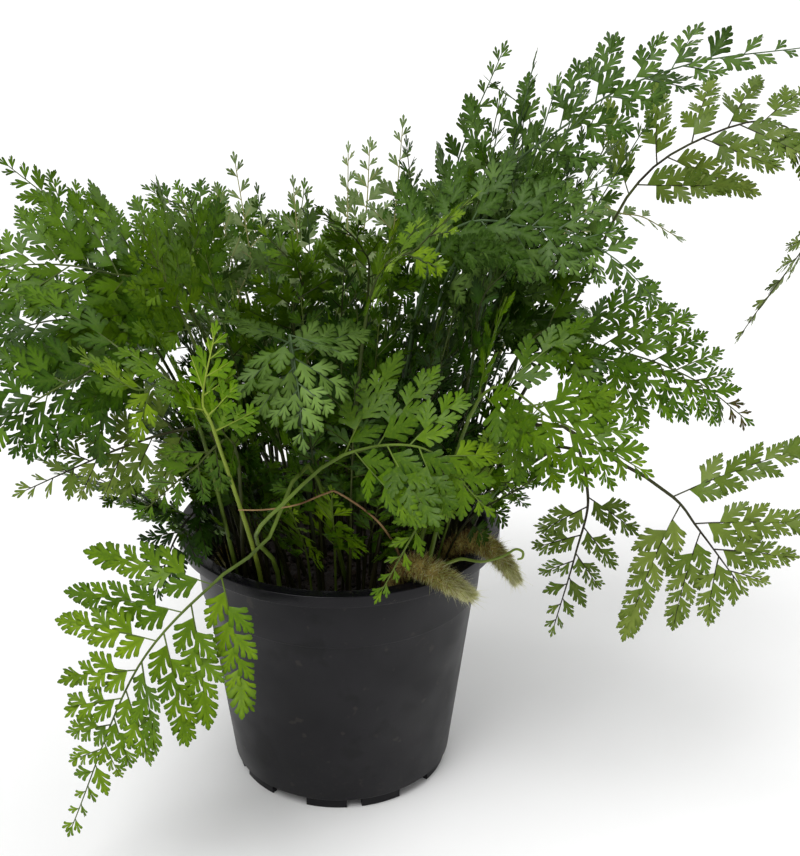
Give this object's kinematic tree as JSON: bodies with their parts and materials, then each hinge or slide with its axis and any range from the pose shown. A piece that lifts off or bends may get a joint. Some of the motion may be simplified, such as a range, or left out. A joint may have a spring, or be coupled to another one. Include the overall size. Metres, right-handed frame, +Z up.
{
  "type": "potted white rabbits foot fern",
  "caption": "Rabbit's foot fern in a plain black nursery pot: arching, finely cut triangular fronds on thin stalks, with furry rhizomes creeping over the rim.",
  "frame": {"origin": "centre of the flat pad under the pot's base, on the surface that the pot stands on", "axes": "+Z up along the pot's axis, -Y towards the side that the picture shows, +X to the right of that side"},
  "size_m": [0.3761, 0.2859, 0.3271],
  "materials": {
    "pot_plastic": "satin",
    "potting_mix": "matte",
    "rhizome_fur": "matte",
    "young_stem": "satin",
    "old_stem": "matte",
    "frond_green": "satin",
    "frond_dark": "satin",
    "frond_bright": "satin",
    "frond_lime": "satin",
    "frond_grey": "satin",
    "frond_olive": "satin",
    "frond_pale": "satin"
  },
  "bodies": {
    "root": {"pot": "pot_plastic", "soil": "potting_mix", "rhizome_front": "rhizome_fur", "rhizome_right": "rhizome_fur", "rhizome_left": "rhizome_fur", "rhizome_back": "rhizome_fur", "rhizome_inner": "rhizome_fur", "crozier": "young_stem", "bare_stalk": "old_stem", "frond_right_top": "frond_grey", "frond_right_crown": "frond_grey", "frond_right_inner": "frond_grey", "frond_right_glossy": "frond_grey", "frond_narrow_spire": "frond_grey", "frond_top_hook": "frond_green", "frond_upright_back": "frond_dark", "frond_dark_upright": "frond_dark", "frond_right_far": "frond_olive", "frond_pale_right": "frond_pale", "frond_right_middle": "frond_green", "frond_right_small": "frond_green", "frond_right_low": "frond_olive", "frond_light_right": "frond_bright", "frond_hanging_right": "frond_olive", "frond_hanging_inner": "frond_olive", "frond_front_centre": "frond_grey", "frond_front_right": "frond_bright", "frond_front_trailing": "frond_bright", "frond_young_lime": "frond_lime", "frond_left_top": "frond_green", "frond_left_long": "frond_green", "frond_left_upright": "frond_green", "frond_left_middle": "frond_green", "frond_left_low": "frond_olive", "frond_left_front": "frond_green", "frond_left_light": "frond_bright", "frond_left_rim": "frond_dark", "frond_left_small": "frond_green", "frond_back_left": "frond_green", "frond_crown_left": "frond_dark", "frond_back_middle": "frond_pale", "frond_crown_back": "frond_green", "frond_back_pale": "frond_pale", "frond_crown_dark": "frond_dark", "frond_crown_middle": "frond_dark", "frond_crown_bright": "frond_bright", "frond_core_left": "frond_dark", "frond_core_middle": "frond_dark", "frond_core_right": "frond_dark", "frond_core_back": "frond_dark", "frond_rear_left": "frond_green", "frond_rear_middle": "frond_green", "frond_rear_right": "frond_green", "frond_side_left": "frond_green", "frond_rear_crown": "frond_dark", "frond_rear_trailing": "frond_green", "frond_twisted_light": "frond_bright", "frond_front_inner": "frond_dark"}
  },
  "joints": []
}
